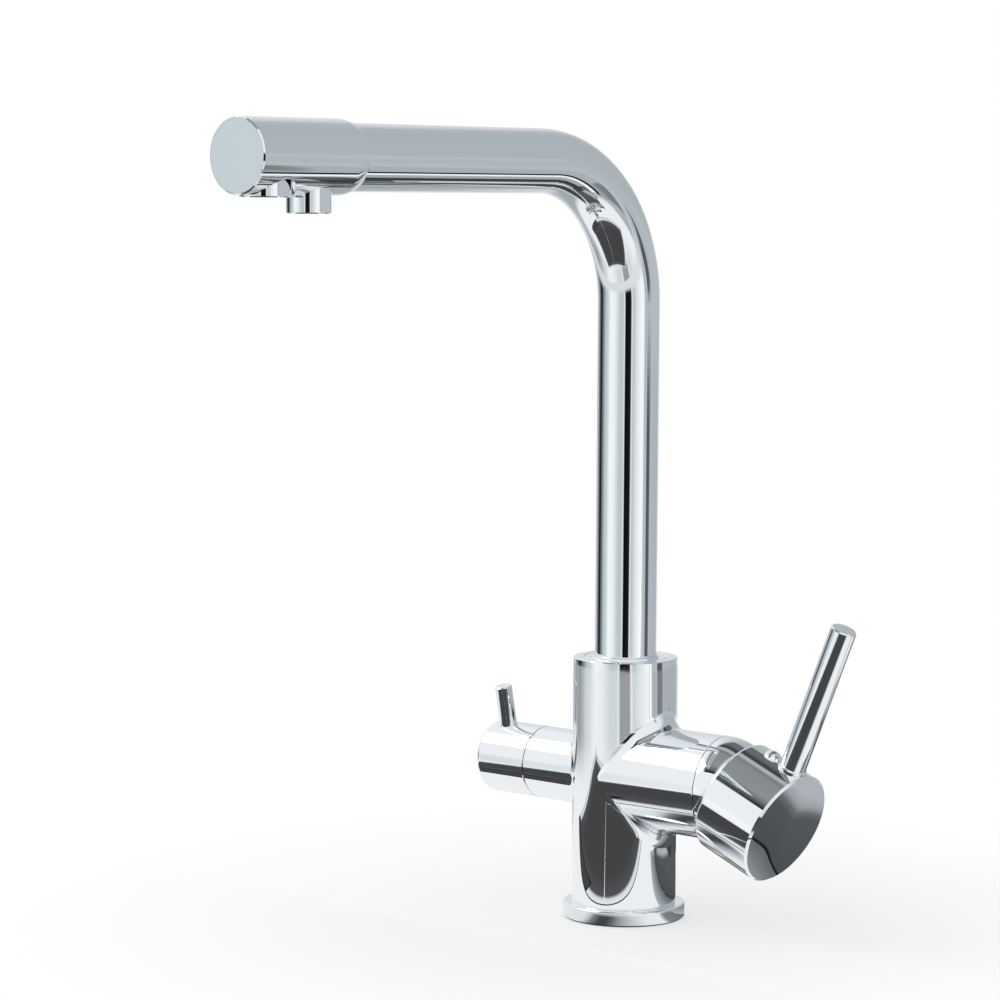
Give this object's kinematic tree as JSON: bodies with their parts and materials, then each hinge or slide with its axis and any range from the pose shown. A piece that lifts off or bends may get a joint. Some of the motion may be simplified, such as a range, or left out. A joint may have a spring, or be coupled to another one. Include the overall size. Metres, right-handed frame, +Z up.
{
  "type": "three way filtered water tap",
  "caption": "Three way kitchen tap with a swivelling spout, a side mixer handle for hot and cold water, and a small lever valve for filtered water.",
  "frame": {"origin": "middle of the tap's underside, on the deck that it stands on", "axes": "+Z up along the body's axis, -Y the way the spout points, +X the way the mixer handle stands out, -X the way the filter valve stands out"},
  "size_m": [0.181, 0.2466, 0.3216],
  "materials": {
    "polished_chrome": "polished chrome plate on brass",
    "bare_brass": "machined brass",
    "stainless_steel": "turned stainless steel",
    "black_rubber": "moulded rubber",
    "white_acetal": "moulded acetal",
    "grey_plastic": "moulded grey plastic",
    "food_tube": "drawn food grade tube",
    "ceramic": "lapped ceramic"
  },
  "bodies": {
    "tap_base": {"base_gasket": "black_rubber", "base_flange": "polished_chrome", "tap_body": "polished_chrome", "swivel_nut": "polished_chrome", "slide_ring": "polished_chrome", "cartridge_case": "white_acetal", "cartridge_seals": "black_rubber", "fixed_disc": "ceramic", "cartridge_nut": "bare_brass", "dome_cover": "polished_chrome", "filter_seat_washer": "black_rubber", "filter_headwork": "bare_brass", "filter_fixed_disc": "ceramic"},
    "spout": {"spout_bush": "white_acetal", "spout_seals": "black_rubber", "spout_tube": "polished_chrome", "filter_water_tube": "food_tube", "spout_head": "polished_chrome", "spout_end_disc": "polished_chrome", "filter_elbow": "bare_brass", "main_outlet_sleeve": "polished_chrome", "main_aerator": "grey_plastic", "main_outlet_seal": "black_rubber", "filter_outlet_sleeve": "polished_chrome", "filter_aerator": "grey_plastic", "filter_outlet_seal": "black_rubber"},
    "mixer_rotor": {"cartridge_rotor": "white_acetal", "pivot_pin": "stainless_steel"},
    "mixer_handle": {"mixer_spindle": "stainless_steel", "handle_cap": "polished_chrome", "mixer_lever": "polished_chrome", "lever_ring": "polished_chrome", "cap_screw": "stainless_steel", "index_plug": "polished_chrome"},
    "mixing_disc": {"moving_disc": "ceramic", "disc_carrier": "white_acetal"},
    "filter_handle": {"filter_moving_disc": "ceramic", "filter_spindle": "bare_brass", "filter_spindle_seal": "black_rubber", "filter_knob": "polished_chrome", "filter_lever": "polished_chrome", "knob_screw": "stainless_steel"}
  },
  "joints": [
    {"name": "spout_swivel", "type": "hinge", "parent": "tap_base", "child": "spout", "pos_m": [0, 0, 0.1], "axis": [0, 0, 1], "continuous": true},
    {"name": "temperature_turn", "type": "hinge", "parent": "tap_base", "child": "mixer_rotor", "pos_m": [0.051, 0, 0.0586], "axis": [1, 0, 0], "range_deg": [-45, 45]},
    {"name": "mixer_lift", "type": "hinge", "parent": "mixer_rotor", "child": "mixer_handle", "pos_m": [0.051, 0, 0.0586], "axis": [0, 1, 0], "range_deg": [-22.4, 0]},
    {"name": "disc_slide", "type": "slide", "parent": "mixer_rotor", "child": "mixing_disc", "axis": [0, 0, 1], "range_m": [-0.00475, 0]},
    {"name": "filter_turn", "type": "hinge", "parent": "tap_base", "child": "filter_handle", "pos_m": [-0.0425, 0, 0.0586], "axis": [1, 0, 0], "range_deg": [0, 90]}
  ],
  "couplings": [
    {"joint": "disc_slide", "follows": "mixer_lift", "m_per_rad": 0.01209}
  ]
}
